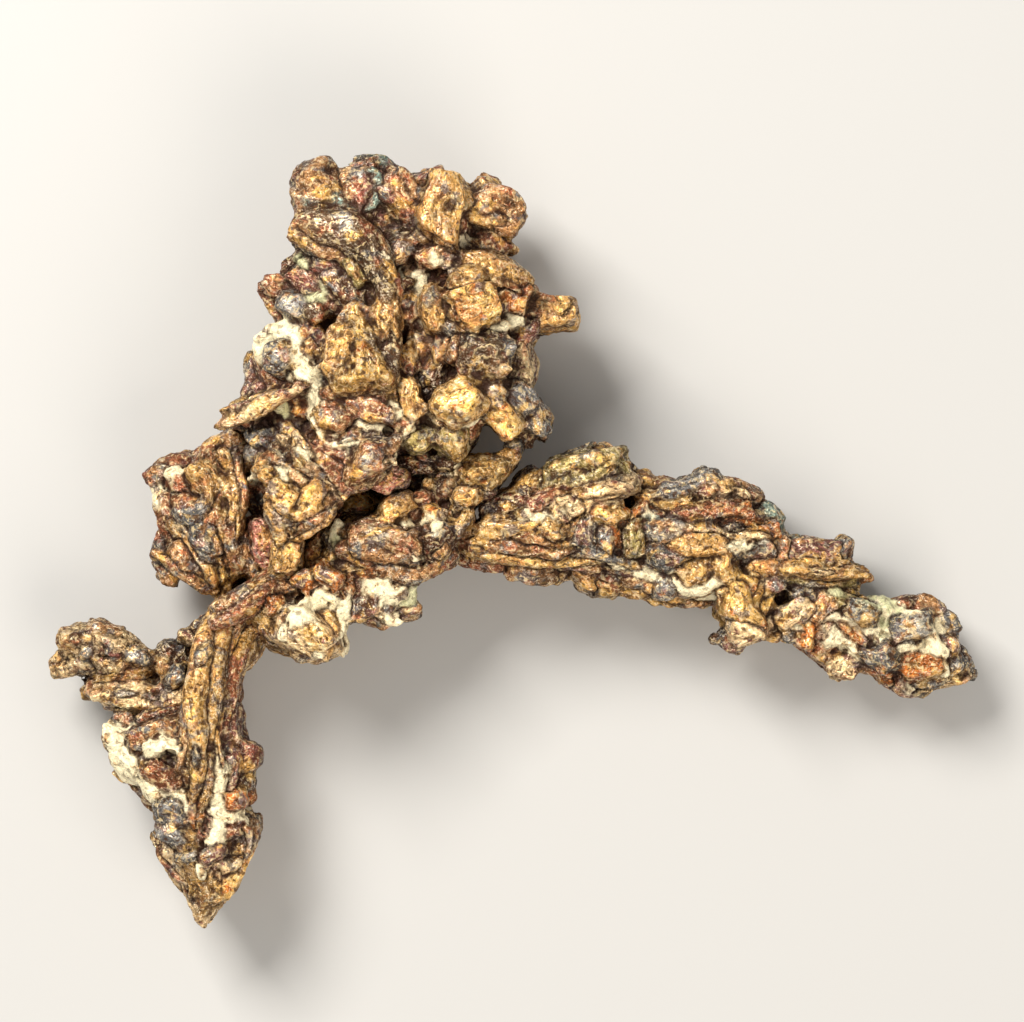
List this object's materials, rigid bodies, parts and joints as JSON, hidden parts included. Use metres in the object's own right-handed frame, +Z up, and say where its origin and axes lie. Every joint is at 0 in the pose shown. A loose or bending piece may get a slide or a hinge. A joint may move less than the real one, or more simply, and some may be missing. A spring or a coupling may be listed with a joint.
{
  "type": "native copper nugget",
  "caption": "Branching nugget of native copper with white calcite between its crystals, lying on its back: a broad crown, a long arm, a pointed leg and a short spur.",
  "frame": {"origin": "centre of the bounding box's underside, on the surface the nugget lies on", "axes": "+X along the nugget's length towards the tip of the arm, +Y towards the crown, +Z up from the side it lies on"},
  "size_m": [0.1492, 0.1228, 0.0381],
  "materials": {
    "crown_copper": "tarnished brown and gold, speckled, with white calcite between the crystals",
    "left_lobe_copper": "tarnished gold and brown with slate patches",
    "middle_bar_copper": "tarnished gold and rust with white calcite",
    "right_arm_copper": "tarnished yellow gold and slate with white calcite near the tip",
    "lower_leg_copper": "tarnished gold and rust with white calcite",
    "side_spur_copper": "tarnished slate and pale gold"
  },
  "bodies": {
    "root": {"crown": "crown_copper", "left_lobe": "left_lobe_copper", "middle_bar": "middle_bar_copper", "right_arm": "right_arm_copper", "lower_leg": "lower_leg_copper", "side_spur": "side_spur_copper"}
  },
  "joints": []
}
